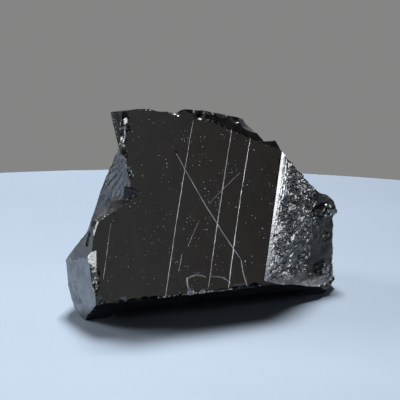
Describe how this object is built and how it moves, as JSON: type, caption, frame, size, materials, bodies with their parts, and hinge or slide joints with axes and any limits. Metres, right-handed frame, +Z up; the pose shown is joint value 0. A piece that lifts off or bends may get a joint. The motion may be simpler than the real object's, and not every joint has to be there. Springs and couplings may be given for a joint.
{
  "type": "elite shungite stone",
  "caption": "Broken lump of glassy black carbon rock: a polished cleavage face, a ribbed bevel, grainy and rippled breaks, and a flat base.",
  "frame": {"origin": "on the resting surface, under the middle of the stone", "axes": "+X along the bottom edge of the cleavage face, -Y the way that face looks, +Z up"},
  "size_m": [0.0642, 0.036, 0.0451],
  "materials": {
    "stone": "near-black, semi-metallic lustre, mirror-smooth cleavage with fine scratches, satin and grainy breaks"
  },
  "bodies": {
    "root": {"shungite_stone": "stone"}
  },
  "joints": []
}
